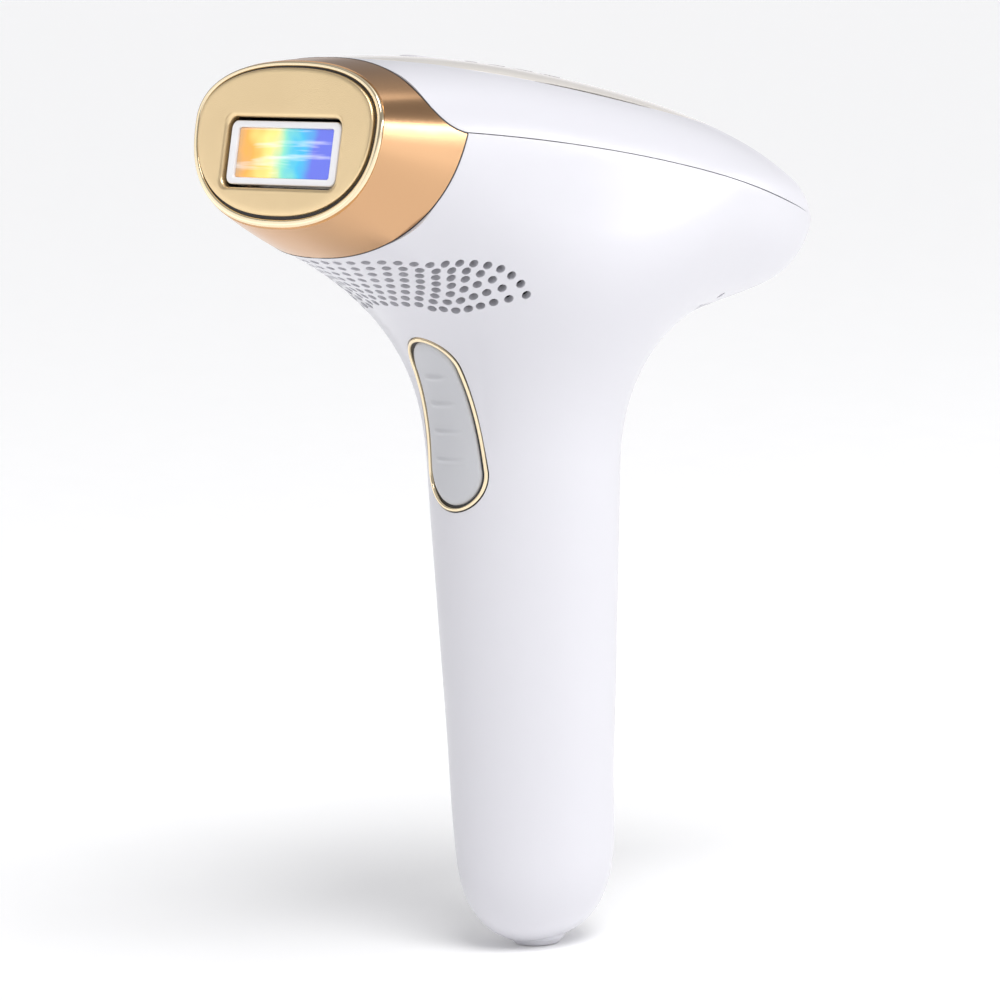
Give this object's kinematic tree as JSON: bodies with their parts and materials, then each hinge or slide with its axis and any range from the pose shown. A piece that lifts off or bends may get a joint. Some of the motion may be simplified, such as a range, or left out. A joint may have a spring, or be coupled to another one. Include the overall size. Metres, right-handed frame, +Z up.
{
  "type": "ipl hair remover",
  "caption": "Pistol-grip pulsed-light hair remover: white body, detachable gold lamp head with a flash window, front trigger, vented neck and power inlet in the foot.",
  "frame": {"origin": "centre of the power inlet's mouth at the foot of the grip", "axes": "+Z up along the grip, -Y towards the lamp window, +X to the right-hand side of the body"},
  "size_m": [0.0672, 0.1783, 0.2115],
  "materials": {
    "white_shell": "gloss",
    "pearl_strip": "gloss",
    "rose_gold": "polished metallic",
    "polished_gold": "polished",
    "satin_gold": "satin",
    "white_bezel": "gloss",
    "filter_glass": "coated",
    "mirror_metal": "mirror",
    "lamp_glass": "clear",
    "steel": "satin",
    "dark_plastic": "matt",
    "contact_brass": "satin",
    "aluminium": "satin",
    "circuit_board": "satin",
    "ferrite": "satin",
    "capacitor_sleeve": "gloss",
    "key_grey": "satin",
    "light_pipe": "frosted",
    "trigger_grey": "satin",
    "wire_sleeve": "matt"
  },
  "bodies": {
    "main_body": {"air_baffle": "dark_plastic", "belly_capacitor": "capacitor_sleeve", "board_screws": "steel", "body_shell": "white_shell", "capacitor_clamp": "dark_plastic", "charge_choke": "ferrite", "chassis": "dark_plastic", "contact_socket": "dark_plastic", "control_board": "circuit_board", "control_strip": "pearl_strip", "fan_frame": "dark_plastic", "fan_screws": "steel", "filter_capacitors": "capacitor_sleeve", "front_bulkhead": "dark_plastic", "heat_sink": "aluminium", "inlet_collar": "white_shell", "inlet_jack": "dark_plastic", "inlet_leads": "wire_sleeve", "key_switches": "dark_plastic", "level_lights": "light_pipe", "main_capacitor": "capacitor_sleeve", "power_board": "circuit_board", "power_switches": "dark_plastic", "top_cover": "white_shell", "trigger_board": "circuit_board", "trigger_ring": "polished_gold", "trigger_spring": "steel", "trigger_switch": "dark_plastic", "trigger_transformer": "dark_plastic"},
    "lamp_head": {"nose_shroud": "rose_gold", "face_rim": "polished_gold", "face_plate": "satin_gold", "window_bezel": "white_bezel", "window_glass": "filter_glass", "reflector": "mirror_metal", "flash_lamp": "lamp_glass", "lamp_electrodes": "steel", "lamp_frame": "dark_plastic", "frame_screws": "steel", "contact_blades": "contact_brass"},
    "fan": {"fan_rotor": "dark_plastic"},
    "trigger": {"trigger_button": "trigger_grey"},
    "power_key": {"power_key": "key_grey"},
    "level_key": {"level_key": "key_grey"}
  },
  "joints": [
    {"name": "lamp_head_release", "type": "slide", "parent": "main_body", "child": "lamp_head", "axis": [0, -0.9763, 0.2164], "range_m": [0, 0.045]},
    {"name": "fan_spin", "type": "hinge", "parent": "main_body", "child": "fan", "pos_m": [0, -0.01312, 0.17664], "axis": [0, 0.9763, -0.2164], "continuous": true},
    {"name": "trigger_press", "type": "slide", "parent": "main_body", "child": "trigger", "axis": [0, 1, 0], "range_m": [0, 0.0012], "stiffness_N_per_m": 1500, "springref_m": -0.0008},
    {"name": "power_key_press", "type": "slide", "parent": "main_body", "child": "power_key", "axis": [0, -0.2164, -0.9763], "range_m": [0, 0.0005], "stiffness_N_per_m": 3000, "springref_m": -0.0003},
    {"name": "level_key_press", "type": "slide", "parent": "main_body", "child": "level_key", "axis": [0, -0.2164, -0.9763], "range_m": [0, 0.0005], "stiffness_N_per_m": 3000, "springref_m": -0.0003}
  ]
}
